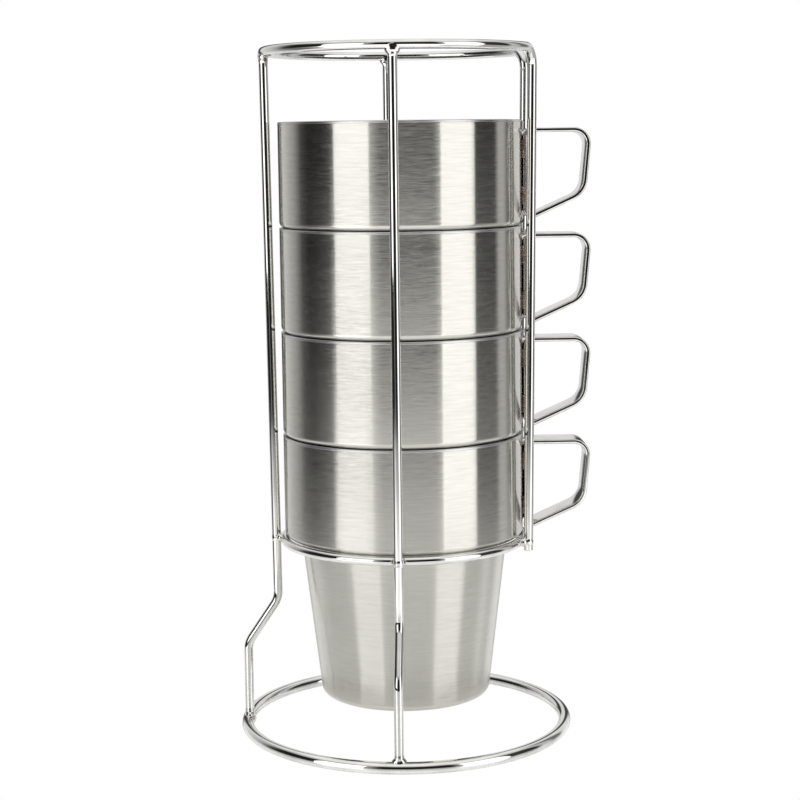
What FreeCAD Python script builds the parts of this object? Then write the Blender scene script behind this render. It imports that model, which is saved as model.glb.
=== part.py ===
"""Stacking mug rack: a welded wire rack that holds four nesting double-walled steel mugs.

+Z is up, +X points along the mug handles, and the origin is on the floor at the rack's axis.
"""
import FreeCAD, Part
import math
import os

import Sketcher
from FreeCAD import Placement, Rotation, Vector

DRIVING_DIMENSIONS = [
    # rack
    ("wire_diameter", 3.0, "wire of the uprights, the hoop and the support ring"),
    ("base_wire_diameter", 4.0, "wire of the base ring"),
    ("base_ring_radius", 53.9, "centreline of the base ring"),
    ("support_ring_radius", 40.0, "centreline of the ring under the bottom mug's shoulder"),
    ("support_ring_height", 65.2, "height of that ring's centreline"),
    ("hoop_radius", 44.2, "centreline of the open hoop"),
    ("hoop_height", 226.2, "height of the hoop's centreline"),
    ("hoop_bend_radius", 6.0, "bend from the hoop into each handle guide"),
    ("guide_half_gap", 14.0, "half the distance between the two handle guides"),
    ("guide_end_drop", 2.9, "how far the guides end below the support ring's centreline"),
    ("weld_gap", 0.05, "gap that a weld bead bridges"),
    ("foot_radius", 53.3, "how far the uprights stand from the axis at the base ring"),
    ("jog_low_height", 28.9, "height of the jog's lower corner"),
    ("jog_high_height", 44.3, "height of the jog's upper corner"),
    ("waist_radius", 42.85, "how far the uprights stand from the axis at the jog's upper corner"),
    ("jog_bend_radius", 8.0, "centreline radius of both bends of the jog"),
    ("side_upright_angle", 94.0, "angle of the front and rear uprights from the handles"),
    ("weld_radius", 2.3, "radius of a weld bead"),
    ("weld_set_out", 0.2, "how far the support ring's weld beads stand out from its side"),
    # mugs
    ("mug_count", 4, "mugs in the stack"),
    ("stack_pitch", 34.3, "height from one mug to the next"),
    ("bottom_mug_height", 12.0, "height of the bottom mug's foot above the floor"),
    ("mug_height", 88.6, "foot to rim"),
    ("band_radius", 40.0, "outside of the straight band"),
    ("band_height", 34.4, "rim to shoulder"),
    ("taper_top_radius", 34.6, "outside of the taper at the shoulder"),
    ("taper_foot_radius", 28.2, "outside of the taper at the foot, before rounding"),
    ("foot_face_radius", 24.6, "inner edge of the flat face that the mug stands on"),
    ("sheet", 0.6, "thickness of the mug's steel"),
    ("shoulder_round", 2.2, "outer rounding where the band turns in to the shoulder"),
    ("shoulder_fillet", 1.5, "outer fillet where the shoulder meets the taper"),
    ("foot_round", 2.5, "outer rounding at the foot"),
    ("lip_height", 0.8, "height of the rim lip over the shell's edge"),
    ("lip_round", 0.4, "rounding of the rim lip"),
    ("mouth_radius", 38.7, "inside of the rim"),
    ("throat_radius", 38.5, "inside of the cup at the throat"),
    ("throat_depth", 3.0, "depth of the throat below the rim"),
    ("waist_inner_radius", 33.0, "inside of the cup at its waist"),
    ("waist_depth", 32.0, "depth of the waist below the rim"),
    ("floor_radius", 26.3, "inside of the cup at its floor, before rounding"),
    ("floor_height", 3.2, "height of the cup's floor above the foot"),
    ("floor_round", 3.0, "inner rounding at the cup's floor"),
    ("disc_radius", 25.4, "outside of the base disc"),
    ("disc_step_radius", 18.0, "foot of the step in the base disc"),
    ("disc_step_run", 1.6, "radial length of that step"),
    ("disc_step_rise", 0.8, "height of that step"),
    # handles
    ("strap_thickness", 1.5, "thickness of the handle strap"),
    ("strap_width", 12.0, "width of the handle strap"),
    ("strap_edge_round", 0.5, "rounding of the strap's edges"),
    ("leg_gap", 0.05, "gap between the band and the handle's leg"),
    ("handle_top_drop", 2.65, "rim down to the top of the handle"),
    ("handle_reach", 62.7, "axis out to the handle's upper corner"),
    ("handle_low_reach", 60.7, "axis out to the handle's lower corner"),
    ("handle_low_drop", 24.3, "rim down to the handle's lower corner"),
    ("handle_end_drop", 33.6, "rim down to the corner between the leg and the slanted bar"),
    ("handle_top_round", 5.5, "outer rounding of the upper corner"),
    ("handle_low_round", 7.7, "outer rounding of the lower corner"),
    ("handle_leg_round", 2.9, "outer rounding at both ends of the leg"),
    ("seam_radius", 0.8, "radius of the weld seams along the handle's leg"),
    ("seam_length", 6.0, "length of those seams"),
    ("seam_top_drop", 6.5, "rim down to the upper seams"),
    ("seam_low_drop", 21.5, "rim down to the lower seams"),
]

doc = FreeCAD.newDocument("mug_rack")
dims = doc.addObject("Spreadsheet::Sheet", "dims")
for row, (alias, value, meaning) in enumerate(DRIVING_DIMENSIONS, start=1):
    dims.set(f"A{row}", meaning)
    dims.set(f"B{row}", str(value))
    dims.setAlias(f"B{row}", alias)
doc.recompute()

sub_parts = []


def size(alias):
    """The value of one driving dimension."""
    return float(dims.get(alias))


def bound(text):
    """An expression over the sheet: every word in the text is an alias."""
    words = text.split()
    return " ".join(f"dims.{word}" if word[0].isalpha() else word for word in words)


def keep(part, label, placement=None):
    """Register a finished sub-part under its node name."""
    part.Label = label
    if placement is not None:
        part.Placement = placement
    sub_parts.append(part)
    return part


# ---------------------------------------------------------------- sketches and bodies


def new_body(label):
    return doc.addObject("PartDesign::Body", label)


def new_sketch(body, name, role):
    """A sketch on one of the body's own origin planes."""
    plane = next(f for f in body.Origin.OriginFeatures if f.Role == role)
    sketch = body.newObject("Sketcher::SketchObject", name)
    sketch.AttachmentSupport = [(plane, "")]
    sketch.MapMode = "FlatFace"
    return sketch


def pin_point(sketch, geometry, vertex, place, start=(1.0, 1.0)):
    """Tie a point to the sketch's origin with one expression per direction."""
    directions = (("DistanceX", place[0], -2, start[0]), ("DistanceY", place[1], -1, start[1]))
    for kind, text, axis, value in directions:
        if text == "0":
            sketch.addConstraint(Sketcher.Constraint("PointOnObject", geometry, vertex, axis))
            continue
        index = sketch.addConstraint(Sketcher.Constraint(kind, -1, 1, geometry, vertex, value))
        sketch.setExpression(f"Constraints[{index}]", bound(text))


def polygon_sketch(body, name, role, corners):
    """A closed outline of straight edges, its corners given as pairs of expressions."""
    sketch = new_sketch(body, name, role)
    count = len(corners)
    turn = 2 * math.pi / count
    starts = [Vector(math.cos(turn * i), math.sin(turn * i), 0) for i in range(count)]
    for i in range(count):
        sketch.addGeometry(Part.LineSegment(starts[i], starts[(i + 1) % count]))
    for i in range(count):
        following = (i + 1) % count
        sketch.addConstraint(Sketcher.Constraint("Coincident", i, 2, following, 1))
    for i, corner in enumerate(corners):
        pin_point(sketch, i, 1, corner)
    return sketch


def revolved(label, corners):
    """A body turned about Z from a polygon in its XZ plane."""
    body = new_body(label)
    sketch = polygon_sketch(body, "Profile", "XZ_Plane", corners)
    turned = body.newObject("PartDesign::Revolution", "Turned")
    turned.Profile = sketch
    turned.ReferenceAxis = (sketch, ["V_Axis"])
    turned.Angle = 360
    doc.recompute()
    return body


def circle_edge(shape, radius, height):
    """The name of the circular edge about Z with this radius at this height."""
    for number, edge in enumerate(shape.Edges, start=1):
        curve = edge.Curve
        if not isinstance(curve, Part.Circle):
            continue
        if abs(curve.Radius - radius) < 1e-4 and abs(curve.Center.z - height) < 1e-4:
            return f"Edge{number}"
    raise ValueError(f"no circular edge of radius {radius} at height {height}")


def round_circles(body, places, radius_text):
    """Fillet circular edges, each given as (radius, height), by one expression."""
    base = body.Tip
    fillet = body.newObject("PartDesign::Fillet", "Round")
    fillet.Base = (base, [circle_edge(base.Shape, *place) for place in places])
    fillet.setExpression("Radius", bound(radius_text))
    doc.recompute()


# ---------------------------------------------------------------- rack


def ring(label, radius, wire, height):
    """A closed wire ring."""
    torus = doc.addObject("Part::Torus", label)
    torus.setExpression("Radius1", bound(radius))
    torus.setExpression("Radius2", bound(f"{wire} / 2"))
    torus.setExpression("Placement.Base.z", bound(height))
    return keep(torus, label)


def bent_path(sketch, corners, bend):
    """Straight runs through the corners, with a tangent arc of the bend radius at each."""
    points = [Vector(x, z, 0) for x, z, _, _ in corners]
    radius = size(bend)
    run_start = points[0]
    pieces = []
    arc_ends = []
    for before, corner, after in zip(points, points[1:], points[2:]):
        back = (before - corner).normalize()
        onward = (after - corner).normalize()
        half = back.getAngle(onward) / 2
        reach = radius / math.tan(half)
        centre = corner + (back + onward).normalize() * (radius / math.sin(half))
        start = corner + back * reach
        middle = centre + (corner - centre).normalize() * radius
        end = corner + onward * reach
        pieces.append(sketch.addGeometry(Part.LineSegment(run_start, start)))
        pieces.append(sketch.addGeometry(Part.Arc(start, middle, end)))
        turns_left = back.cross(onward).z < 0
        arc_ends.append((1, 2) if turns_left else (2, 1))
        run_start = end
    pieces.append(sketch.addGeometry(Part.LineSegment(run_start, points[-1])))
    arcs = pieces[1::2]
    lines = pieces[0::2]
    for arc, (first, last), line_before, line_after in zip(arcs, arc_ends, lines, lines[1:]):
        sketch.addConstraint(Sketcher.Constraint("Tangent", line_before, 2, arc, first))
        sketch.addConstraint(Sketcher.Constraint("Tangent", arc, last, line_after, 1))
        index = sketch.addConstraint(Sketcher.Constraint("Radius", arc, radius))
        sketch.setExpression(f"Constraints[{index}]", bound(bend))
    pin_point(sketch, lines[0], 1, corners[0][2:], corners[0][:2])
    pin_point(sketch, lines[-1], 2, corners[-1][2:], corners[-1][:2])
    for corner, line_before, line_after in zip(corners[1:-1], lines, lines[1:]):
        point = sketch.addGeometry(Part.Point(Vector(corner[0], corner[1], 0)), True)
        sketch.addConstraint(Sketcher.Constraint("PointOnObject", point, 1, line_before))
        sketch.addConstraint(Sketcher.Constraint("PointOnObject", point, 1, line_after))
        pin_point(sketch, point, 1, corner[2:], corner[:2])
    return [f"Edge{i + 1}" for i in range(len(pieces))]


def check_wire(shape, length, label):
    """Stop if a swept wire's volume is not its section times its length."""
    expected = math.pi * size("wire_diameter") ** 2 / 4 * length
    if abs(shape.Volume - expected) > 0.005 * expected:
        raise ValueError(f"{label} has the wrong volume")


def upright(label, angle):
    """One bent wire from the top of the base ring up to the underside of the hoop."""
    foot = size("base_wire_diameter") + size("weld_gap")
    above_foot = "- base_wire_diameter - weld_gap"
    low = size("jog_low_height") - foot
    low_text = f"jog_low_height {above_foot}"
    high = size("jog_high_height") - foot
    high_text = f"jog_high_height {above_foot}"
    top = size("hoop_height") - size("wire_diameter") / 2 - size("weld_gap") - foot
    top_text = f"hoop_height - wire_diameter / 2 - weld_gap {above_foot}"
    corners = [
        (size("foot_radius"), 0, "foot_radius", "0"),
        (size("foot_radius"), low, "foot_radius", low_text),
        (size("waist_radius"), high, "waist_radius", high_text),
        (size("hoop_radius"), top, "hoop_radius", top_text),
    ]
    body = new_body(label)
    path = new_sketch(body, "Path", "XZ_Plane")
    edges = bent_path(path, corners, "jog_bend_radius")
    section = new_sketch(body, "Section", "XY_Plane")
    half_wire = size("wire_diameter") / 2
    middle = Vector(size("foot_radius"), 0, 0)
    section.addGeometry(Part.Circle(middle, Vector(0, 0, 1), half_wire))
    pin_point(section, 0, 3, ("foot_radius", "0"), (size("foot_radius"), 0))
    index = section.addConstraint(Sketcher.Constraint("Radius", 0, half_wire))
    section.setExpression(f"Constraints[{index}]", bound("wire_diameter / 2"))
    doc.recompute()
    wire = body.newObject("PartDesign::AdditivePipe", "Wire")
    wire.Profile = section
    wire.Spine = (path, edges)
    doc.recompute()
    check_wire(body.Shape, path.Shape.Length, label)
    return keep(body, label, Placement(Vector(0, 0, foot), Rotation(Vector(0, 0, 1), angle)))


def hoop_corner():
    """Where the hoop's arc ends, as an angle, and the direction of its tangent there."""
    radius = size("hoop_radius")
    bend = size("hoop_bend_radius")
    angle = math.asin(size("guide_half_gap") / math.hypot(radius, bend)) + math.atan(bend / radius)
    return angle, Vector(math.sin(angle), math.cos(angle), 0)


def guide_end():
    """The bottom of the front handle guide, against the outside of the support ring."""
    reach = size("support_ring_radius") + size("wire_diameter") + size("weld_gap")
    half_gap = size("guide_half_gap")
    depth = math.sqrt(reach**2 - half_gap**2)
    return Vector(depth, -half_gap, size("support_ring_height") - size("guide_end_drop"))


def mirrored(point):
    return Vector(point.x, -point.y, point.z)


def top_hoop():
    """One wire: up a handle guide, round the open hoop and down the other guide."""
    radius = size("hoop_radius")
    height = size("hoop_height")
    angle, tangent = hoop_corner()
    arc_end = Vector(radius * math.cos(angle), -radius * math.sin(angle), height)
    corner = arc_end + tangent * size("hoop_bend_radius")
    foot = guide_end()
    down = (foot - corner).normalize()
    half = (-tangent).getAngle(down) / 2
    reach = size("hoop_bend_radius")
    bend_radius = reach * math.tan(half)
    centre = corner + (down - tangent).normalize() * (bend_radius / math.sin(half))
    bend_middle = centre + (corner - centre).normalize() * bend_radius
    bend_end = corner + down * reach
    far_side = Vector(-radius, 0, height)
    edges = [
        Part.LineSegment(foot, bend_end),
        Part.Arc(bend_end, bend_middle, arc_end),
        Part.Arc(arc_end, far_side, mirrored(arc_end)),
        Part.Arc(mirrored(arc_end), mirrored(bend_middle), mirrored(bend_end)),
        Part.LineSegment(mirrored(bend_end), mirrored(foot)),
    ]
    path = Part.Wire([edge.toShape() for edge in edges])
    section = Part.Wire(Part.makeCircle(size("wire_diameter") / 2, foot, -down))
    swept = path.makePipeShell([section], True, False)
    check_wire(swept, path.Length, "top_hoop")
    part = doc.addObject("Part::Feature", "top_hoop")
    part.Shape = swept
    return keep(part, "top_hoop")


def weld_group(label, places, joined):
    """Weld beads at the given places, each cut back to the wires that it joins."""
    beads = []
    for number, place in enumerate(places, start=1):
        bead = doc.addObject("Part::Sphere", f"{label}_{number}")
        bead.setExpression("Radius", bound("weld_radius"))
        along_ring = math.degrees(math.atan2(place.y, place.x)) + 90
        bead.Placement = Placement(place, Rotation(Vector(0, 0, 1), along_ring))
        beads.append(bead)
    group = doc.addObject("Part::Compound", f"{label}_beads")
    group.Links = beads
    wires = doc.addObject("Part::Compound", f"{label}_wires")
    wires.Links = joined
    trimmed = doc.addObject("Part::Cut", label)
    trimmed.Base = group
    trimmed.Tool = wires
    doc.recompute()
    return keep(trimmed, label)


def polar(radius, angle, height):
    turn = math.radians(angle)
    return Vector(radius * math.cos(turn), radius * math.sin(turn), height)


def rack():
    """The welded wire frame."""
    base = ring("base_ring", "base_ring_radius", "base_wire_diameter", "base_wire_diameter / 2")
    support = ring(
        "support_ring", "support_ring_radius", "wire_diameter", "support_ring_height"
    )
    side = size("side_upright_angle")
    angles = {"left_upright": 180, "front_upright": -side, "rear_upright": side}
    uprights = [upright(label, angle) for label, angle in angles.items()]
    hoop = top_hoop()
    half_wire = size("wire_diameter") / 2
    under_hoop = size("hoop_height") - half_wire
    ring_side = size("support_ring_radius") + half_wire + size("weld_set_out")
    foot = size("base_wire_diameter")
    guide = guide_end()
    guide_angle = math.degrees(math.atan2(guide.y, guide.x))
    on_ring = list(angles.values()) + [guide_angle, -guide_angle]
    ring_height = size("support_ring_height")
    weld_group(
        "hoop_welds",
        [polar(size("hoop_radius"), angle, under_hoop) for angle in angles.values()],
        uprights + [hoop],
    )
    weld_group(
        "support_welds",
        [polar(ring_side, angle, ring_height) for angle in on_ring],
        uprights + [hoop, support],
    )
    weld_group(
        "base_welds",
        [polar(size("foot_radius"), angle, foot) for angle in angles.values()],
        uprights + [base],
    )


# ---------------------------------------------------------------- mugs


def outer_shell(label, placement):
    """The stepped shell: band, shoulder, taper and the turned-in foot."""
    corners = [
        ("foot_face_radius", "0"),
        ("taper_foot_radius", "0"),
        ("taper_top_radius", "mug_height - band_height"),
        ("band_radius", "mug_height - band_height"),
        ("band_radius", "mug_height - lip_height"),
        ("band_radius - sheet", "mug_height - lip_height"),
        ("band_radius - sheet", "mug_height - band_height + sheet"),
        ("taper_top_radius - sheet", "mug_height - band_height + sheet"),
        ("taper_foot_radius - sheet", "sheet"),
        ("foot_face_radius", "sheet"),
    ]
    body = revolved(label, corners)
    thickness = size("sheet")
    shoulder = size("mug_height") - size("band_height")
    outside = (size("band_radius"), shoulder)
    inside = (size("band_radius") - thickness, shoulder + thickness)
    waist = (size("taper_top_radius"), shoulder)
    waist_inside = (size("taper_top_radius") - thickness, shoulder + thickness)
    foot = (size("taper_foot_radius"), 0)
    foot_inside = (size("taper_foot_radius") - thickness, thickness)
    round_circles(body, [outside], "shoulder_round")
    round_circles(body, [inside], "shoulder_round - sheet")
    round_circles(body, [waist], "shoulder_fillet")
    round_circles(body, [waist_inside], "shoulder_fillet + sheet")
    round_circles(body, [foot], "foot_round")
    round_circles(body, [foot_inside], "foot_round - sheet")
    return keep(body, label, placement)


def inner_cup(label, placement):
    """The cup inside the shell, with the rim lip that covers the shell's edge."""
    corners = [
        ("0", "floor_height"),
        ("floor_radius", "floor_height"),
        ("waist_inner_radius", "mug_height - waist_depth"),
        ("throat_radius", "mug_height - throat_depth"),
        ("mouth_radius", "mug_height"),
        ("band_radius", "mug_height"),
        ("band_radius", "mug_height - lip_height"),
        ("mouth_radius + sheet", "mug_height - lip_height"),
        ("throat_radius + sheet", "mug_height - throat_depth"),
        ("waist_inner_radius + sheet", "mug_height - waist_depth"),
        ("floor_radius + sheet", "floor_height - sheet"),
        ("0", "floor_height - sheet"),
    ]
    body = revolved(label, corners)
    thickness = size("sheet")
    rim = size("mug_height")
    floor = size("floor_height")
    round_circles(body, [(size("floor_radius"), floor)], "floor_round")
    round_circles(body, [(size("floor_radius") + thickness, floor - thickness)], "floor_round + sheet")
    round_circles(body, [(size("mouth_radius"), rim), (size("band_radius"), rim)], "lip_round")
    return keep(body, label, placement)


def base_disc(label, placement):
    """The stepped disc that closes the shell's foot."""
    corners = [
        ("0", "sheet + disc_step_rise"),
        ("disc_step_radius - disc_step_run", "sheet + disc_step_rise"),
        ("disc_step_radius", "sheet"),
        ("disc_radius", "sheet"),
        ("disc_radius", "sheet * 2"),
        ("disc_step_radius + sheet / 2", "sheet * 2"),
        ("disc_step_radius - disc_step_run + sheet / 2", "sheet * 2 + disc_step_rise"),
        ("0", "sheet * 2 + disc_step_rise"),
    ]
    return keep(revolved(label, corners), label, placement)


def across_edge(shape, x, z):
    """The name of the straight edge that runs along Y through this place."""
    for number, edge in enumerate(shape.Edges, start=1):
        middle = edge.CenterOfMass
        if abs(middle.x - x) < 1e-4 and abs(middle.z - z) < 1e-4 and abs(middle.y) < 1e-4:
            return f"Edge{number}"
    raise ValueError(f"no edge along Y at {x}, {z}")


def side_faces(shape):
    """The names of the two flat faces that look along Y."""
    names = []
    for number, face in enumerate(shape.Faces, start=1):
        if isinstance(face.Surface, Part.Plane) and abs(face.normalAt(0, 0).y) > 0.99:
            names.append(f"Face{number}")
    return names


def handle(label, placement):
    """A flat strap bent to a closed D, its leg against the band."""
    rim = size("mug_height")
    leg = size("band_radius") + size("leg_gap")
    end_corner = (leg, rim - size("handle_end_drop"))
    leg_corner = (leg, rim - size("handle_top_drop"))
    top_corner = (size("handle_reach"), rim - size("handle_top_drop"))
    low_corner = (size("handle_low_reach"), rim - size("handle_low_drop"))
    body = new_body(label)
    sketch = polygon_sketch(
        body,
        "Outline",
        "XZ_Plane",
        [
            ("band_radius + leg_gap", "mug_height - handle_end_drop"),
            ("handle_low_reach", "mug_height - handle_low_drop"),
            ("handle_reach", "mug_height - handle_top_drop"),
            ("band_radius + leg_gap", "mug_height - handle_top_drop"),
        ],
    )
    block = body.newObject("PartDesign::Pad", "Block")
    block.Profile = sketch
    block.SideType = "Symmetric"
    block.setExpression("Length", bound("strap_width"))
    doc.recompute()
    for corners, radius in (
        ([end_corner, leg_corner], "handle_leg_round"),
        ([top_corner], "handle_top_round"),
        ([low_corner], "handle_low_round"),
    ):
        base = body.Tip
        bend = body.newObject("PartDesign::Fillet", "Bend")
        bend.Base = (base, [across_edge(base.Shape, *corner) for corner in corners])
        bend.setExpression("Radius", bound(radius))
        doc.recompute()
    base = body.Tip
    strap = body.newObject("PartDesign::Thickness", "Strap")
    strap.Base = (base, side_faces(base.Shape))
    strap.Reversed = True
    strap.Mode = "Skin"
    strap.Join = "Intersection"
    strap.setExpression("Value", bound("strap_thickness"))
    doc.recompute()
    base = body.Tip
    edges = body.newObject("PartDesign::Fillet", "Edges")
    edges.Base = (base, side_faces(base.Shape))
    edges.setExpression("Radius", bound("strap_edge_round"))
    doc.recompute()
    return keep(body, label, placement)


def handle_welds(label, placement, shell, strap):
    """Four short seams where the edges of the handle's leg meet the band."""
    seams = []
    for side in (-1, 1):
        for drop in ("seam_top_drop", "seam_low_drop"):
            seam = doc.addObject("Part::Cylinder", f"{label}_seam")
            seam.setExpression("Radius", bound("seam_radius"))
            seam.setExpression("Height", bound("seam_length"))
            seam.setExpression("Placement.Base.x", bound("band_radius"))
            seam.setExpression("Placement.Base.y", bound(f"strap_width / 2 * {side}"))
            raised = f"mug_height - {drop} - seam_length"
            seam.setExpression("Placement.Base.z", bound(f"{placement.Base.z} + {raised}"))
            seams.append(seam)
    group = doc.addObject("Part::Compound", f"{label}_group")
    group.Links = seams
    walls = doc.addObject("Part::Compound", f"{label}_walls")
    walls.Links = [shell, strap]
    trimmed = doc.addObject("Part::Cut", label)
    trimmed.Base = group
    trimmed.Tool = walls
    doc.recompute()
    return keep(trimmed, label)


def mug(number):
    """One mug of the stack, counted from the bottom."""
    height = size("bottom_mug_height") + size("stack_pitch") * (number - 1)
    placement = Placement(Vector(0, 0, height), Rotation())
    name = f"mug_{number}"
    shell = outer_shell(f"{name}_outer_shell", placement)
    inner_cup(f"{name}_inner_cup", placement)
    base_disc(f"{name}_base_disc", placement)
    strap = handle(f"{name}_handle", placement)
    handle_welds(f"{name}_handle_welds", placement, shell, strap)


# ---------------------------------------------------------------- build, check and write


def check():
    """Stop if any object failed or any sub-part is empty or not valid."""
    for item in doc.Objects:
        if "Invalid" in item.State or "Error" in item.State:
            raise RuntimeError(f"{item.Name} failed: {item.State}")
    for part in sub_parts:
        if part.Shape.isNull() or not part.Shape.isValid() or not part.Shape.Solids:
            raise RuntimeError(f"{part.Label} has no valid solid")


rack()
for mug_number in range(1, int(size("mug_count")) + 1):
    mug(mug_number)
doc.recompute()
check()

os.makedirs("parts", exist_ok=True)
for part in sub_parts:
    part.Shape.exportStep(f"parts/{part.Label}.step")
    box = part.Shape.BoundBox
    print(
        f"{part.Label}: {len(part.Shape.Solids)} solids, {part.Shape.Volume:.1f} mm3,"
        f" z {box.ZMin:.2f} to {box.ZMax:.2f}"
    )
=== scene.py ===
"""Looks of the stacking mug rack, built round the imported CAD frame.

Profiles and paths are written in millimetres, as in the CAD source, and turned into metres when a
mesh is made. +Z is up, +X points along the mug handles, the origin is on the floor at the axis.
"""

import math

import bmesh
import bpy
from mathutils import Matrix, Vector, noise


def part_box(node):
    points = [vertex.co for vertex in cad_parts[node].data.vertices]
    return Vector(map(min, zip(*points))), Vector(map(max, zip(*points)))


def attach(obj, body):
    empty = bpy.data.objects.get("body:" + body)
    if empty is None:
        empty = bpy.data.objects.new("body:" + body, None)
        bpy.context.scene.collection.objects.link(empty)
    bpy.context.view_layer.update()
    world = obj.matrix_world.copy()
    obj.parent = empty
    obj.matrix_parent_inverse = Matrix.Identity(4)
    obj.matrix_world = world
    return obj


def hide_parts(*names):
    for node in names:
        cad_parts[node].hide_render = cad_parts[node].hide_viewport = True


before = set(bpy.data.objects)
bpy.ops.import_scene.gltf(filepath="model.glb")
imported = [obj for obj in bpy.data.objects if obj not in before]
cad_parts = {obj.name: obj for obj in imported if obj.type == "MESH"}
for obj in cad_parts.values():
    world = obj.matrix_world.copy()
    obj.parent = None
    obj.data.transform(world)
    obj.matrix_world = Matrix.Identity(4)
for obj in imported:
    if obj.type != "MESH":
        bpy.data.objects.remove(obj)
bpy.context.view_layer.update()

MM = 0.001
UP = Vector((0, 0, 1))

# rack, in mm
WIRE = 1.5
BASE_WIRE = 2.0
WIRE_CHAMFER = 0.3
BASE_RING_RADIUS = 53.9
SUPPORT_RING_RADIUS = 40.0
SUPPORT_RING_HEIGHT = 65.2
HOOP_RADIUS = 44.2
HOOP_HEIGHT = 226.2
HOOP_BEND = 6.0
WELD_GAP = 0.05
GUIDE_HALF_GAP = 14.0
GUIDE_END_DROP = 2.9
GUIDE_FOOT_RADIUS = SUPPORT_RING_RADIUS + 2 * WIRE + WELD_GAP
FOOT_RADIUS = 53.3
JOG_LOW = 28.9
JOG_HIGH = 44.3
WAIST_RADIUS = 42.85
JOG_BEND = 8.0
UPRIGHT_ANGLES = {"left_upright": 180.0, "front_upright": -94.0, "rear_upright": 94.0}

# the rack's weld metal, in mm
WELD_STAND = 0.14
WELD_SHIFT = 0.35
RING_LUMP = 3.3
POST_LUMP = 2.9
POST_LUMP_SHIFT = 1.0
CONTACT_LUMP = 2.5
CONTACT_LUMP_SINK = 0.3

# mug, in mm above its foot or out from its axis
MUG_HEIGHT = 88.6
SHEET = 0.6
BAND_RADIUS = 40.0
SHOULDER = 54.2
SHOULDER_ROUND = 2.2
SHOULDER_FILLET = 1.5
TAPER_TOP_RADIUS = 34.6
TAPER_FOOT_RADIUS = 28.2
FOOT_FACE_RADIUS = 24.6
FOOT_ROUND = 2.5
LIP_START = MUG_HEIGHT - 0.8
LIP_ROUND = 0.4
MOUTH_RADIUS = 38.7
THROAT_RADIUS = 38.5
THROAT_HEIGHT = MUG_HEIGHT - 3.0
THROAT_CURVE = 15.0
CUP_WAIST_RADIUS = 33.0
CUP_WAIST_HEIGHT = MUG_HEIGHT - 32.0
CUP_WAIST_CURVE = 60.0
CUP_FLOOR_RADIUS = 26.3
CUP_FLOOR_HEIGHT = 3.2
CUP_FLOOR_ROUND = 3.0
DISC_RADIUS = 25.4
STEP_RADIUS = 18.0
STEP_RUN = 1.6
STEP_RISE = 0.8
STEP_ROUND = 0.8
STEP_OFFSET = 0.3
CUT_EDGE = 0.08
FOOT_EDGE = 0.15
DISC_EDGE = 0.1

# handle, in mm
STRAP = 1.5
STRAP_WIDTH = 12.0
STRAP_EDGE = 0.5
LEG = 40.05
LEG_ROUND = 2.9
HANDLE_TOP = MUG_HEIGHT - 2.65
HANDLE_REACH = 62.7
HANDLE_TOP_ROUND = 5.5
HANDLE_LOW = MUG_HEIGHT - 24.3
HANDLE_LOW_REACH = 60.7
HANDLE_LOW_ROUND = 7.7
HANDLE_END = MUG_HEIGHT - 33.6
SEAM_DROPS = (6.5, 21.5)
SEAM_LENGTH = 6.0
SEAM_RADIUS = 0.62
SEAM_RIPPLES = 7
RIPPLE_HALF_LENGTH = 0.8 * SEAM_RADIUS
RIPPLE_SWELL = 0.1
RIPPLE_STRIDE = 3.7

# fineness of the meshes
LATHE_SEGMENTS = 224
TUBE_SEGMENTS = 28
RING_STEPS = 256
HOOP_STEPS = 200
BEND_STEPS = 20
FLOOR_STEPS = 96
SHARP_DEGREES = 35.0
ON_AXIS = 1e-6
SAME_PLACE = 1e-7


# ---------------------------------------------------------------- outlines


def polar(radius, degrees, z):
    turn = math.radians(degrees)
    return Vector((radius * math.cos(turn), radius * math.sin(turn), z))


def circle_path(radius, z, steps):
    return [polar(radius, 360 * i / steps, z) for i in range(steps)]


def corner_arms(corners, i):
    """One corner of an outline and the directions from it to its two neighbours."""
    corner = Vector(corners[i][:2])
    back = (Vector(corners[i - 1][:2]) - corner).normalized()
    onward = (Vector(corners[(i + 1) % len(corners)][:2]) - corner).normalized()
    return corner, back, onward


def arc(centre, start, end, sweep, steps):
    """Points round a centre, from its arm start to its arm end, which are a sweep apart."""
    points = []
    for step in range(steps + 1):
        share = step / steps
        blend = start * math.sin((1 - share) * sweep) + end * math.sin(share * sweep)
        points.append(centre + blend / math.sin(sweep))
    return points


def rounded(corners, closed=True, degrees_per_step=6.0):
    """Points of an outline whose corners (x, z, radius) are replaced by arcs."""
    points = []
    for i, (x, z, radius) in enumerate(corners):
        at_end = not closed and i in (0, len(corners) - 1)
        if at_end or radius <= 0:
            points.append(Vector((x, z)))
            continue
        corner, back, onward = corner_arms(corners, i)
        half = back.angle(onward) / 2
        reach = radius / math.tan(half)
        centre = corner + (back + onward).normalized() * (radius / math.sin(half))
        start = corner + back * reach - centre
        end = corner + onward * reach - centre
        sweep = math.pi - 2 * half
        steps = max(2, math.ceil(math.degrees(sweep) / degrees_per_step))
        points += arc(centre, start, end, sweep, steps)
    return points


def inset(corners, distance):
    """A convex closed outline moved inwards, its arcs tightened by the same distance."""
    moved = []
    for i, (_, _, radius) in enumerate(corners):
        corner, back, onward = corner_arms(corners, i)
        shift = distance / math.sin(back.angle(onward) / 2)
        place = corner + (back + onward).normalized() * shift
        moved.append((place.x, place.y, radius - distance))
    return moved


# ---------------------------------------------------------------- meshes


def new_object(name, data):
    made = bpy.data.objects.new(name, data)
    bpy.context.scene.collection.objects.link(made)
    return made


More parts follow.
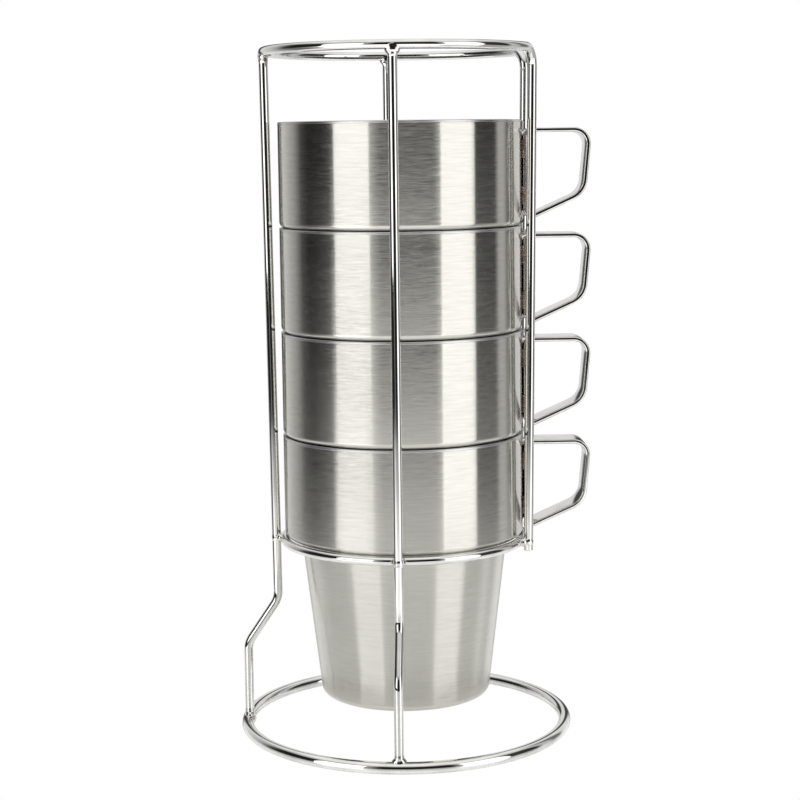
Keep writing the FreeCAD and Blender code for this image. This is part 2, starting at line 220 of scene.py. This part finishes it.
def mesh_object(name, vertices, faces):
    """A smooth-shaded object from vertices in mm, creased where it really has an edge."""
    mesh = bpy.data.meshes.new(name)
    mesh.from_pydata([Vector(v) * MM for v in vertices], [], faces)
    clean = bmesh.new()
    clean.from_mesh(mesh)
    bmesh.ops.remove_doubles(clean, verts=clean.verts, dist=SAME_PLACE)
    bmesh.ops.recalc_face_normals(clean, faces=clean.faces)
    clean.to_mesh(mesh)
    clean.free()
    mesh.shade_smooth()
    mesh.set_sharp_from_angle(angle=math.radians(SHARP_DEGREES))
    return new_object(name, mesh)


def bands(rings, width, closed):
    """Quads between rings of vertices that follow each other, each ring a closed outline."""
    faces = []
    for i in range(rings if closed else rings - 1):
        this = i * width
        following = ((i + 1) % rings) * width
        for j in range(width):
            k = (j + 1) % width
            faces.append((this + j, this + k, following + k, following + j))
    return faces


def lathe(name, profile, height):
    """A closed outline of (radius, z) points turned about Z, lifted by the height."""
    vertices = []
    for i in range(LATHE_SEGMENTS):
        turn = 2 * math.pi * i / LATHE_SEGMENTS
        for radius, z in profile:
            vertices.append((radius * math.cos(turn), radius * math.sin(turn), z + height))
    count = len(profile)
    centred = [radius < ON_AXIS for radius, _ in profile]
    faces = []
    for i in range(LATHE_SEGMENTS):
        this = i * count
        following = ((i + 1) % LATHE_SEGMENTS) * count
        for j in range(count):
            k = (j + 1) % count
            if centred[j] and centred[k]:
                continue
            if centred[j]:
                faces.append((this + j, following + k, this + k))
            elif centred[k]:
                faces.append((this + j, following + j, this + k))
            else:
                faces.append((this + j, following + j, following + k, this + k))
    return mesh_object(name, vertices, faces)


def chamfered(ring, inwards):
    """A free end's ring as two: one set back along the wire and a narrower one at the tip."""
    point, tangent, side, radius = ring
    set_back = (point + tangent * inwards, tangent, side, radius)
    tip = (point, tangent, side, radius - abs(inwards))
    return set_back, tip


def tube(name, path, radius, closed=False):
    """A round wire along a path of points, its free ends cut flat with a small chamfer."""
    count = len(path)
    tangents = []
    for i in range(count):
        before = path[i - 1] if closed or i > 0 else path[i]
        after = path[(i + 1) % count] if closed or i < count - 1 else path[i]
        tangents.append((after - before).normalized())
    starts_level = abs(tangents[0].z) < 0.5
    side = UP if starts_level else tangents[0].orthogonal().normalized()
    rings = []
    for point, tangent in zip(path, tangents):
        side = (side - tangent * side.dot(tangent)).normalized()
        rings.append((point, tangent, side, radius))
    if not closed:
        rings[:1] = reversed(chamfered(rings[0], WIRE_CHAMFER))
        rings[-1:] = chamfered(rings[-1], -WIRE_CHAMFER)
    vertices = []
    for point, tangent, side, size in rings:
        across = tangent.cross(side)
        for j in range(TUBE_SEGMENTS):
            turn = 2 * math.pi * j / TUBE_SEGMENTS
            vertices.append(point + (side * math.cos(turn) + across * math.sin(turn)) * size)
    faces = bands(len(rings), TUBE_SEGMENTS, closed)
    if not closed:
        last = (len(rings) - 1) * TUBE_SEGMENTS
        faces.append(tuple(range(TUBE_SEGMENTS)))
        faces.append(tuple(range(last, last + TUBE_SEGMENTS)))
    return mesh_object(name, vertices, faces)


def strap_loop(name, outline, section, height):
    """A section of (out, y) points carried round a closed outline in the XZ plane."""
    points = rounded(outline)
    count = len(points)
    vertices = []
    for i, point in enumerate(points):
        along = (points[(i + 1) % count] - points[i - 1]).normalized()
        out = Vector((along.y, -along.x))
        for u, v in section:
            place = point + out * u
            vertices.append((place.x, v, place.y + height))
    return mesh_object(name, vertices, bands(count, len(section), closed=True))


def blob(name, lumps, voxel, rounds, unevenness):
    """Weld metal: overlapping ellipsoids (centre, long axis, half length, radius) run together."""
    parts = bmesh.new()
    for centre, axis, half_length, radius in lumps:
        turn = UP.rotation_difference(axis).to_matrix().to_4x4()
        size = Matrix.Diagonal((radius, radius, half_length, 1))
        place = Matrix.Translation(centre) @ turn @ size
        bmesh.ops.create_icosphere(parts, subdivisions=4, radius=1, matrix=place)
    mesh = bpy.data.meshes.new(name)
    parts.to_mesh(mesh)
    parts.free()
    made = new_object(name, mesh)
    remesh = made.modifiers.new("run_together", "REMESH")
    remesh.mode = "VOXEL"
    remesh.voxel_size = voxel
    smooth = made.modifiers.new("soften", "SMOOTH")
    smooth.factor = 0.5
    smooth.iterations = rounds
    settled = made.evaluated_get(bpy.context.evaluated_depsgraph_get())
    shaped = bpy.data.meshes.new_from_object(settled)
    made.modifiers.clear()
    made.data = shaped
    lumps_per_mm = 0.9
    normals = [vertex.normal.copy() for vertex in shaped.vertices]
    for vertex, normal in zip(shaped.vertices, normals):
        vertex.co += normal * noise.noise(vertex.co * lumps_per_mm) * unevenness
    shaped.transform(Matrix.Scale(MM, 4))
    shaped.shade_smooth()
    return made


def dress(made, node, body, material, slot):
    """The piece stands for the CAD node, rides on its body and wears the material."""
    made.data.materials.clear()
    made.data.materials.append(material)
    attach(made, body)
    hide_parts(node)


# ---------------------------------------------------------------- materials

# Sockets of a Mix node that mixes colours.
MIX_FIRST, MIX_SECOND, MIX_RESULT = 6, 7, 2

# Where the heat of the handle's seams shows on the band: how far from a seam, in mm, and the x
# at which it starts and is full.
HEAT_REACH = 2.6
HEAT_STARTS_X = 38.8
HEAT_FULL_X = 39.5
HEAT_COLOUR = (0.24, 0.16, 0.11)
HEAT_STRENGTH = 0.85

BRUSH_LEAN = 0.025
QUARTER_TURN = 0.25


class Nodes:
    """Short names for building the node tree of a material or of the room."""

    def __init__(self, owner):
        owner.use_nodes = True
        self.owner = owner
        self.tree = owner.node_tree

    def add(self, kind, **settings):
        node = self.tree.nodes.new(kind)
        for key, value in settings.items():
            setattr(node, key, value)
        return node

    def link(self, output, target):
        self.tree.links.new(output, target)

    def split(self, vector):
        """The X, Y and Z of a vector."""
        node = self.add("ShaderNodeSeparateXYZ")
        self.link(vector, node.inputs[0])
        return tuple(node.outputs)

    def math(self, operation, first, second=None):
        node = self.add("ShaderNodeMath", operation=operation)
        for socket, value in zip(node.inputs, (first, second)):
            if isinstance(value, (int, float)):
                socket.default_value = value
            elif value is not None:
                self.link(value, socket)
        return node.outputs[0]

    def blend(self, first, second, share):
        """The first value with a share of the second in its place."""
        kept = self.math("MULTIPLY", first, 1 - share)
        return self.math("ADD", kept, self.math("MULTIPLY", second, share))

    def spread(self, value, low, high, to_low=0.0, to_high=1.0):
        """The value's range from low to high, stretched to another range and cut off there."""
        node = self.add("ShaderNodeMapRange")
        node.inputs["From Min"].default_value = low
        node.inputs["From Max"].default_value = high
        node.inputs["To Min"].default_value = to_low
        node.inputs["To Max"].default_value = to_high
        self.link(value, node.inputs["Value"])
        return node.outputs[0]

    def mix(self, factor, first, second):
        """A colour between two, each an output or three numbers."""
        node = self.add("ShaderNodeMix", data_type="RGBA")
        self.link(factor, node.inputs["Factor"])
        for index, value in ((MIX_FIRST, first), (MIX_SECOND, second)):
            if isinstance(value, tuple):
                node.inputs[index].default_value = (*value, 1.0)
            else:
                self.link(value, node.inputs[index])
        return node.outputs[MIX_RESULT]


class Metal(Nodes):
    """A metal whose patterns are laid out in the object's own space."""

    def __init__(self, name):
        super().__init__(bpy.data.materials.new(name))
        self.shader = self.tree.nodes["Principled BSDF"]
        self.shader.inputs["Metallic"].default_value = 1.0
        self.space = self.add("ShaderNodeTexCoord").outputs["Object"]

    def feed(self, socket, output):
        self.link(output, self.shader.inputs[socket])

    def noise(self, scale, detail=2.0, roughness=0.5):
        """Noise with its own scale along each axis, in repeats per metre."""
        mapping = self.add("ShaderNodeMapping")
        mapping.inputs["Scale"].default_value = scale
        self.link(self.space, mapping.inputs["Vector"])
        texture = self.add("ShaderNodeTexNoise")
        texture.inputs["Scale"].default_value = 1.0
        texture.inputs["Detail"].default_value = detail
        texture.inputs["Roughness"].default_value = roughness
        self.link(mapping.outputs[0], texture.inputs["Vector"])
        return texture.outputs["Fac"]

    def wear_by(self, pattern, low, high, smoothest, roughest):
        """Let the roughness follow a pattern: smoothest up to low, roughest from high on."""
        self.feed("Roughness", self.spread(pattern, low, high, smoothest, roughest))

    def bump(self, height, distance, strength):
        node = self.add("ShaderNodeBump")
        node.inputs["Strength"].default_value = strength
        node.inputs["Distance"].default_value = distance
        self.link(height, node.inputs["Height"])
        self.feed("Normal", node.outputs[0])

    def lean(self, value, direction, amount):
        """Let the surface normal lean a little along a direction, as brush lines make it lean."""
        shift = self.add("ShaderNodeVectorMath", operation="SCALE")
        self.link(direction, shift.inputs[0])
        centred = self.math("SUBTRACT", value, 0.5)
        self.link(self.math("MULTIPLY", centred, amount), shift.inputs["Scale"])
        total = self.add("ShaderNodeVectorMath", operation="ADD")
        self.link(self.add("ShaderNodeNewGeometry").outputs["Normal"], total.inputs[0])
        self.link(shift.outputs[0], total.inputs[1])
        unit = self.add("ShaderNodeVectorMath", operation="NORMALIZE")
        self.link(total.outputs[0], unit.inputs[0])
        self.feed("Normal", unit.outputs[0])


def heat_tint(metal, colour):
    """Straw and brown discoloration on the metal beside the handle's weld seams."""
    x, y, _ = metal.split(metal.space)
    from_seam = metal.math("SUBTRACT", metal.math("ABSOLUTE", y), STRAP_WIDTH / 2 * MM)
    distance = metal.math("ABSOLUTE", from_seam)
    near = metal.spread(distance, 0.0, HEAT_REACH * MM, to_low=1.0, to_high=0.0)
    at_handle = metal.spread(x, HEAT_STARTS_X * MM, HEAT_FULL_X * MM)
    clouds = metal.noise(scale=(900, 900, 500), detail=3.0)
    cloudy = metal.spread(clouds, 0.35, 0.65, to_low=0.25)
    amount = metal.math("MULTIPLY", metal.math("MULTIPLY", near, at_handle), cloudy)
    return metal.mix(metal.math("MULTIPLY", amount, HEAT_STRENGTH), colour, HEAT_COLOUR)


def brushed(name, bright, dark, roughness, anisotropy, tinted=False):
    """Steel brushed round the Z axis: reflections stay crisp sideways and smear up and down."""
    metal = Metal(name)
    metal.shader.inputs["Anisotropic"].default_value = anisotropy
    metal.shader.inputs["Anisotropic Rotation"].default_value = QUARTER_TURN
    tangent = metal.add("ShaderNodeTangent", direction_type="RADIAL", axis="Z").outputs[0]
    metal.feed("Tangent", tangent)
    grain = metal.noise(scale=(420, 420, 5200), detail=3.0, roughness=0.7)
    streaks = metal.noise(scale=(170, 170, 2500), roughness=0.65)
    drawn_lines = metal.noise(scale=(130, 130, 1900))
    clouds = metal.noise(scale=(28, 28, 45), detail=3.0)
    lines = metal.blend(grain, streaks, share=0.5)
    fine = metal.spread(lines, 0.36, 0.64)
    broad = metal.spread(drawn_lines, 0.35, 0.65)
    colour = metal.mix(metal.blend(fine, broad, share=0.45), dark, bright)
    if tinted:
        colour = heat_tint(metal, colour)
    metal.feed("Base Color", colour)
    wear = metal.blend(lines, clouds, share=0.3)
    metal.wear_by(wear, 0.38, 0.62, smoothest=0.76 * roughness, roughest=1.24 * roughness)
    metal.lean(lines, tangent, BRUSH_LEAN)
    return metal.owner


def polished(name, bright, dull, roughness):
    """Bright drawn steel: faint waves along the wire, fine scratches and a little dulling."""
    metal = Metal(name)
    waves = metal.noise(scale=(70, 70, 45), detail=1.0)
    scratches = metal.noise(scale=(700, 700, 110), roughness=0.6)
    dulling = metal.noise(scale=(160, 160, 60), detail=1.0)
    metal.feed("Base Color", metal.mix(metal.spread(dulling, 0.35, 0.7), bright, dull))
    wear = metal.blend(dulling, scratches, share=0.4)
    metal.wear_by(wear, 0.35, 0.65, smoothest=0.7 * roughness, roughest=1.4 * roughness)
    metal.bump(waves, distance=0.0003, strength=0.2)
    return metal.owner


def weld_metal(name, bare, scorched, roughness):
    """Solidified weld: bright lumps with straw to brown heat colours in patches."""
    metal = Metal(name)
    patches = metal.noise(scale=(700, 700, 700), detail=3.0)
    pits = metal.noise(scale=(2600, 2600, 2600))
    metal.feed("Base Color", metal.mix(metal.spread(patches, 0.45, 0.7), bare, scorched))
    metal.wear_by(patches, 0.3, 0.7, smoothest=0.7 * roughness, roughest=1.5 * roughness)
    metal.bump(pits, distance=0.00008, strength=0.12)
    return metal.owner


WIRE_STEEL = polished(
    "wire_steel", bright=(0.84, 0.835, 0.81), dull=(0.74, 0.735, 0.71), roughness=0.045
)
STRAP_STEEL = polished(
    "strap_steel", bright=(0.78, 0.77, 0.745), dull=(0.66, 0.65, 0.63), roughness=0.085
)
RACK_WELD = weld_metal(
    "rack_weld", bare=(0.80, 0.80, 0.79), scorched=(0.58, 0.54, 0.48), roughness=0.12
)
SEAM_WELD = weld_metal(
    "seam_weld", bare=(0.30, 0.24, 0.20), scorched=(0.11, 0.07, 0.05), roughness=0.24
)
MUG_OUTSIDE = brushed(
    "mug_outside",
    bright=(0.65, 0.64, 0.592),
    dark=(0.56, 0.551, 0.508),
    roughness=0.19,
    anisotropy=1.0,
    tinted=True,
)
MUG_INSIDE = brushed(
    "mug_inside",
    bright=(0.68, 0.68, 0.67),
    dark=(0.60, 0.60, 0.59),
    roughness=0.33,
    anisotropy=0.7,
)
MUG_BASE = brushed(
    "mug_base",
    bright=(0.62, 0.62, 0.61),
    dark=(0.52, 0.52, 0.51),
    roughness=0.30,
    anisotropy=0.6,
)


# ---------------------------------------------------------------- rack

# Each kind of weld has three lumps, given by (radius, z): along the ring wire, up the post and
# where the two touch.
HOOP_WELD = (
    (HOOP_RADIUS, HOOP_HEIGHT - WELD_SHIFT),
    (HOOP_RADIUS, HOOP_HEIGHT - WIRE - POST_LUMP_SHIFT),
    (HOOP_RADIUS, HOOP_HEIGHT - WIRE),
)
SUPPORT_WELD = (
    (SUPPORT_RING_RADIUS, SUPPORT_RING_HEIGHT),
    (SUPPORT_RING_RADIUS + 2 * WIRE, SUPPORT_RING_HEIGHT),
    (SUPPORT_RING_RADIUS + WIRE, SUPPORT_RING_HEIGHT),
)
GUIDE_WELD = (
    (SUPPORT_RING_RADIUS, SUPPORT_RING_HEIGHT),
    (GUIDE_FOOT_RADIUS, SUPPORT_RING_HEIGHT),
    (SUPPORT_RING_RADIUS + WIRE, SUPPORT_RING_HEIGHT),
)
BASE_WELD = (
    (FOOT_RADIUS, BASE_WIRE + WELD_SHIFT),
    (FOOT_RADIUS, 2 * BASE_WIRE + POST_LUMP_SHIFT),
    (FOOT_RADIUS, 2 * BASE_WIRE - CONTACT_LUMP_SINK),
)


def upright_path(degrees):
    """Centreline of one upright, from the base ring to the underside of the hoop."""
    outline = rounded(
        [
            (FOOT_RADIUS, 2 * BASE_WIRE + WELD_GAP, 0),
            (FOOT_RADIUS, JOG_LOW, JOG_BEND),
            (WAIST_RADIUS, JOG_HIGH, JOG_BEND),
            (HOOP_RADIUS, HOOP_HEIGHT - WIRE - WELD_GAP, 0),
        ],
        closed=False,
        degrees_per_step=3.0,
    )
    return [polar(radius, degrees, z) for radius, z in outline]


def hoop_path():
    """Centreline up one handle guide, round the open hoop and down the other guide."""
    angle = math.asin(GUIDE_HALF_GAP / math.hypot(HOOP_RADIUS, HOOP_BEND))
    angle += math.atan(HOOP_BEND / HOOP_RADIUS)
    start = -math.degrees(angle)
    tangent = Vector((math.sin(angle), math.cos(angle), 0))
    ring_end = polar(HOOP_RADIUS, start, HOOP_HEIGHT)
    corner = ring_end + tangent * HOOP_BEND
    foot_x = math.sqrt(GUIDE_FOOT_RADIUS**2 - GUIDE_HALF_GAP**2)
    foot = Vector((foot_x, -GUIDE_HALF_GAP, SUPPORT_RING_HEIGHT - GUIDE_END_DROP))
    down = (foot - corner).normalized()
    half = (-tangent).angle(down) / 2
    bend_radius = HOOP_BEND * math.tan(half)
    centre = corner + (down - tangent).normalized() * (bend_radius / math.sin(half))
    bend_start = corner + down * HOOP_BEND - centre
    bend_end = ring_end - centre
    bend = arc(centre, bend_start, bend_end, bend_start.angle(bend_end), BEND_STEPS)
    near_side = [foot, foot.lerp(centre + bend_start, 0.5), *bend]
    far_side = [Vector((p.x, -p.y, p.z)) for p in reversed(near_side)]
    turn = 360 + 2 * start
    between = range(1, HOOP_STEPS)
    ring = [polar(HOOP_RADIUS, start - turn * i / HOOP_STEPS, HOOP_HEIGHT) for i in between]
    return near_side + ring + far_side


def wires():
    """The two rings, the hoop with its handle guides, and the uprights."""
    base = circle_path(BASE_RING_RADIUS, BASE_WIRE, RING_STEPS)
    support = circle_path(SUPPORT_RING_RADIUS, SUPPORT_RING_HEIGHT, RING_STEPS)
    made = {
        "base_ring": tube("base_ring_wire", base, BASE_WIRE, closed=True),
        "support_ring": tube("support_ring_wire", support, WIRE, closed=True),
        "top_hoop": tube("top_hoop_wire", hoop_path(), WIRE),
    }
    for node, degrees in UPRIGHT_ANGLES.items():
        made[node] = tube(f"{node}_wire", upright_path(degrees), WIRE)
    for node, wire in made.items():
        dress(wire, node, "rack", WIRE_STEEL, "rack_wire")


def wire_weld(degrees, places, ring_wire):
    """The lumps of one weld between a ring wire and a post that stands in this direction."""
    along_ring, up_post, contact = (polar(radius, degrees, z) for radius, z in places)
    tangent = polar(1, degrees + 90, 0)
    return [
        (along_ring, tangent, RING_LUMP, ring_wire + WELD_STAND),
        (up_post, UP, POST_LUMP, WIRE + WELD_STAND),
        (contact, tangent, CONTACT_LUMP, WIRE + 2 * WELD_STAND),
    ]


def welds():
    """The beads that hold the uprights and the handle guides to the hoop and the rings."""
    lumps = {"hoop_welds": [], "support_welds": [], "base_welds": []}
    for degrees in UPRIGHT_ANGLES.values():
        lumps["hoop_welds"] += wire_weld(degrees, HOOP_WELD, WIRE)
        lumps["support_welds"] += wire_weld(degrees, SUPPORT_WELD, WIRE)
        lumps["base_welds"] += wire_weld(degrees, BASE_WELD, BASE_WIRE)
    guide_angle = math.degrees(math.asin(GUIDE_HALF_GAP / GUIDE_FOOT_RADIUS))
    for degrees in (-guide_angle, guide_angle):
        lumps["support_welds"] += wire_weld(degrees, GUIDE_WELD, WIRE)
    for node, joint_lumps in lumps.items():
        metal = blob(f"{node}_metal", joint_lumps, voxel=0.2, rounds=8, unevenness=0.05)
        dress(metal, node, "rack", RACK_WELD, "weld_steel")


# ---------------------------------------------------------------- mugs

SHELL_PROFILE = rounded(
    [
        # outside, from the foot up to the lip
        (FOOT_FACE_RADIUS, 0, FOOT_EDGE),
        (TAPER_FOOT_RADIUS, 0, FOOT_ROUND),
        (TAPER_TOP_RADIUS, SHOULDER, SHOULDER_FILLET),
        (BAND_RADIUS, SHOULDER, SHOULDER_ROUND),
        (BAND_RADIUS, LIP_START, CUT_EDGE),
        # inside, back down
        (BAND_RADIUS - SHEET, LIP_START, CUT_EDGE),
        (BAND_RADIUS - SHEET, SHOULDER + SHEET, SHOULDER_ROUND - SHEET),
        (TAPER_TOP_RADIUS - SHEET, SHOULDER + SHEET, SHOULDER_FILLET + SHEET),
        (TAPER_FOOT_RADIUS - SHEET, SHEET, FOOT_ROUND - SHEET),
        (FOOT_FACE_RADIUS, SHEET, FOOT_EDGE),
    ]
)
CUP_PROFILE = rounded(
    [
        # inside, from the floor up to the mouth
        (0, CUP_FLOOR_HEIGHT, 0),
        (CUP_FLOOR_RADIUS, CUP_FLOOR_HEIGHT, CUP_FLOOR_ROUND),
        (CUP_WAIST_RADIUS, CUP_WAIST_HEIGHT, CUP_WAIST_CURVE),
        (THROAT_RADIUS, THROAT_HEIGHT, THROAT_CURVE),
        # the lip over the shell's edge
        (MOUTH_RADIUS, MUG_HEIGHT, LIP_ROUND),
        (BAND_RADIUS, MUG_HEIGHT, LIP_ROUND),
        (BAND_RADIUS, LIP_START, CUT_EDGE),
        # outside, back down
        (MOUTH_RADIUS + SHEET, LIP_START, CUT_EDGE),
        (THROAT_RADIUS + SHEET, THROAT_HEIGHT, THROAT_CURVE),
        (CUP_WAIST_RADIUS + SHEET, CUP_WAIST_HEIGHT, CUP_WAIST_CURVE),
        (CUP_FLOOR_RADIUS + SHEET, CUP_FLOOR_HEIGHT - SHEET, CUP_FLOOR_ROUND + SHEET),
        (0, CUP_FLOOR_HEIGHT - SHEET, 0),
    ],
    degrees_per_step=4.0,
)
DISC_PROFILE = rounded(
    [
        # underside, from the raised middle out to the edge
        (0, SHEET + STEP_RISE, 0),
        (STEP_RADIUS - STEP_RUN, SHEET + STEP_RISE, STEP_ROUND),
        (STEP_RADIUS, SHEET, STEP_ROUND),
        (DISC_RADIUS, SHEET, DISC_EDGE),
        # upper side, back to the middle
        (DISC_RADIUS, 2 * SHEET, DISC_EDGE),
        (STEP_RADIUS + STEP_OFFSET, 2 * SHEET, STEP_ROUND),
        (STEP_RADIUS - STEP_RUN + STEP_OFFSET, 2 * SHEET + STEP_RISE, STEP_ROUND),
        (0, 2 * SHEET + STEP_RISE, 0),
    ]
)
HANDLE_OUTLINE = [
    (LEG, HANDLE_END, LEG_ROUND),
    (HANDLE_LOW_REACH, HANDLE_LOW, HANDLE_LOW_ROUND),
    (HANDLE_REACH, HANDLE_TOP, HANDLE_TOP_ROUND),
    (LEG, HANDLE_TOP, LEG_ROUND),
]
STRAP_SECTION = rounded(
    [
        (-STRAP / 2, -STRAP_WIDTH / 2, STRAP_EDGE),
        (STRAP / 2, -STRAP_WIDTH / 2, STRAP_EDGE),
        (STRAP / 2, STRAP_WIDTH / 2, STRAP_EDGE),
        (-STRAP / 2, STRAP_WIDTH / 2, STRAP_EDGE),
    ],
    degrees_per_step=15.0,
)


def seam_lumps(foot):
    """Rippled seams where both edges of the handle's leg meet the band."""
    lumps = []
    for side in (-1, 1):
        for drop in SEAM_DROPS:
            for ripple in range(SEAM_RIPPLES):
                share = (ripple + 0.5) / SEAM_RIPPLES
                z = foot + MUG_HEIGHT - drop - SEAM_LENGTH * share
                centre = Vector((BAND_RADIUS, side * STRAP_WIDTH / 2, z))
                seed = Vector((side, drop, ripple * RIPPLE_STRIDE + foot))
                radius = SEAM_RADIUS * (1 + RIPPLE_SWELL * noise.noise(seed))
                lumps.append((centre, UP, RIPPLE_HALF_LENGTH, radius))
    return lumps


def mug(number):
    name = f"mug_{number}"
    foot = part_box(f"{name}_outer_shell")[0].z / MM
    shell = lathe(f"{name}_shell_steel", SHELL_PROFILE, foot)
    cup = lathe(f"{name}_cup_steel", CUP_PROFILE, foot)
    disc = lathe(f"{name}_disc_steel", DISC_PROFILE, foot)
    middle_line = inset(HANDLE_OUTLINE, STRAP / 2)
    strap = strap_loop(f"{name}_strap", middle_line, STRAP_SECTION, foot)
    seams = blob(f"{name}_seams", seam_lumps(foot), voxel=0.16, rounds=2, unevenness=0.1)
    for part, made, material, slot in (
        ("outer_shell", shell, MUG_OUTSIDE, "mug_outside"),
        ("inner_cup", cup, MUG_INSIDE, "mug_inside"),
        ("base_disc", disc, MUG_BASE, "mug_inside"),
        ("handle", strap, STRAP_STEEL, "handle_steel"),
        ("handle_welds", seams, SEAM_WELD, "weld_steel"),
    ):
        dress(made, f"{name}_{part}", name, material, slot)


# ---------------------------------------------------------------- studio

WHITE = (1.0, 1.0, 1.0)

# The table, its radius in metres.
FLOOR_RADIUS = 0.24
FLOOR_SURFACE = {
    "Base Color": (0.8, 0.8, 0.8, 1),
    "Roughness": 0.12,
    "IOR": 1.8,
    "Specular IOR Level": 1.0,
    "Coat Weight": 1.0,
    "Coat Roughness": 0.12,
    "Emission Color": (1, 1, 1, 1),
    "Emission Strength": 0.43,
}

# Brightness of the room round the object, by direction in degrees from the camera's side: first
# at eye level, then below the table's edge.
ROOM = (
    (-180, 0.80),
    (-172, 0.80),
    (-169, 0.06),
    (-159, 0.06),
    (-153, 0.80),
    (-137, 0.68),
    (-120, 0.42),
    (-108, 0.07),
    (-98, 0.015),
    (-34, 0.015),
    (-30, 0.40),
    (-20, 0.015),
    (30, 0.015),
    (37, 0.50),
    (68, 0.50),
    (72, 0.04),
    (98, 0.04),
    (104, 0.55),
    (112, 0.55),
    (118, 0.18),
    (127, 0.18),
    (134, 0.80),
    (153, 0.80),
    (159, 0.06),
    (169, 0.06),
    (172, 0.80),
    (180, 0.80),
)
ROOM_BELOW = (
    (-180, 0.80),
    (-150, 0.80),
    (-110, 0.20),
    (-95, 0.16),
    (-80, 0.35),
    (-72, 0.70),
    (-68, 2.60),
    (-38, 2.60),
    (-27, 1.45),
    (35, 1.45),
    (40, 0.45),
    (98, 0.45),
    (110, 0.60),
    (150, 0.80),
    (180, 0.80),
)

# Heights on a sphere of radius 1 round the object, between which one brightness turns into the
# next: from eye level down to below the table's edge, and up to straight overhead.
EYE_LEVEL_ENDS = -0.14
BELOW_STARTS = -0.25
OVERHEAD_STARTS = 0.55
OVERHEAD_FULL = 0.85


def camera():
    """A long lens just below the top mug's rim, looking slightly down, with a slight roll."""
    distance, height, offset = 0.6256, 0.1980, -0.00089
    pitch, roll, azimuth = (math.radians(d) for d in (7.896, 0.674, -1.364))
    data = bpy.data.cameras.new("camera")
    data.sensor_width = 36.0
    data.lens = 85.05
    data.clip_start = 0.05
    made = new_object("camera", data)
    level = Vector((math.cos(azimuth), math.sin(azimuth), 0))
    ahead = Vector((-math.sin(azimuth), math.cos(azimuth), 0))
    forward = ahead * math.cos(pitch) - UP * math.sin(pitch)
    upward = level.cross(forward)
    right = level * math.cos(roll) - upward * math.sin(roll)
    above = level * math.sin(roll) + upward * math.cos(roll)
    place = level * offset - ahead * distance + UP * height
    turn = Matrix((right, above, -forward)).transposed().to_4x4()
    made.matrix_world = Matrix.Translation(place) @ turn
    bpy.context.scene.camera = made


def softbox(name, degrees, width, low, high, distance, radiance):
    """A tall soft light beside the camera; degrees are measured from the camera's side."""
    data = bpy.data.lights.new(name, "AREA")
    data.shape = "RECTANGLE"
    data.size = width
    data.size_y = high - low
    data.energy = radiance * math.pi * width * (high - low)
    made = new_object(name, data)
    turn = math.radians(degrees)
    side, front = math.sin(turn) * distance, math.cos(turn) * distance
    made.location = (side, -front, (low + high) / 2)
    made.rotation_euler = Vector((-side, front, 0)).to_track_quat("-Z", "Y").to_euler()
    made.visible_camera = False


def floor():
    """A pale glossy table that looks plain white, as the light from below would make it."""
    mesh = bpy.data.meshes.new("floor")
    rim = circle_path(FLOOR_RADIUS, 0, FLOOR_STEPS)
    mesh.from_pydata(rim, [], [tuple(range(FLOOR_STEPS))])
    made = new_object("floor", mesh)
    nodes = Nodes(bpy.data.materials.new("floor_acrylic"))
    shader = nodes.tree.nodes["Principled BSDF"]
    for socket, value in FLOOR_SURFACE.items():
        shader.inputs[socket].default_value = value
    plain = nodes.add("ShaderNodeEmission")
    plain.inputs["Color"].default_value = (*WHITE, 1)
    either = nodes.add("ShaderNodeMixShader")
    nodes.link(nodes.add("ShaderNodeLightPath").outputs["Is Camera Ray"], either.inputs[0])
    nodes.link(shader.outputs[0], either.inputs[1])
    nodes.link(plain.outputs[0], either.inputs[2])
    nodes.link(either.outputs[0], nodes.tree.nodes["Material Output"].inputs["Surface"])
    mesh.materials.append(nodes.owner)


def brightness_round(nodes, levels, place):
    """Brightness at a place round the object, which runs from 0 behind it through left to 1."""
    ramp = nodes.add("ShaderNodeValToRGB")
    nodes.link(place, ramp.inputs[0])
    stops = ramp.color_ramp.elements
    while len(stops) < len(levels):
        stops.new(0.5)
    for stop, (degrees, _) in zip(stops, levels):
        stop.position = (degrees + 180) / 360
    for stop, (_, level) in zip(stops, levels):
        stop.color = (level, level, level, 1)
    return ramp.outputs["Color"]


def room():
    """Dark at the sides and towards the camera, light behind, below and straight overhead."""
    world = bpy.data.worlds.new("room")
    bpy.context.scene.world = world
    nodes = Nodes(world)
    x, y, rise = nodes.split(nodes.add("ShaderNodeTexCoord").outputs["Generated"])
    angle = nodes.math("ARCTAN2", x, nodes.math("MULTIPLY", y, -1.0))
    place = nodes.spread(angle, -math.pi, math.pi)
    below = nodes.spread(rise, EYE_LEVEL_ENDS, BELOW_STARTS)
    eye_level_light = brightness_round(nodes, ROOM, place)
    low_light = brightness_round(nodes, ROOM_BELOW, place)
    level = nodes.mix(below, eye_level_light, low_light)
    overhead = nodes.spread(rise, OVERHEAD_STARTS, OVERHEAD_FULL)
    lit = nodes.mix(overhead, level, WHITE)
    seen = nodes.mix(nodes.add("ShaderNodeLightPath").outputs["Is Camera Ray"], lit, WHITE)
    background = nodes.tree.nodes["Background"]
    nodes.link(seen, background.inputs["Color"])
    background.inputs["Strength"].default_value = 1.0


wires()
welds()
for mug_number in range(1, 5):
    mug(mug_number)
floor()
room()
softbox(
    "left_softbox", degrees=-47.5, width=0.94, low=0.04, high=1.1, distance=1.5, radiance=1.66
)
softbox(
    "right_softbox", degrees=53.5, width=0.95, low=-0.7, high=1.1, distance=1.5, radiance=1.15
)
camera()
bpy.context.scene.view_settings.view_transform = "Standard"
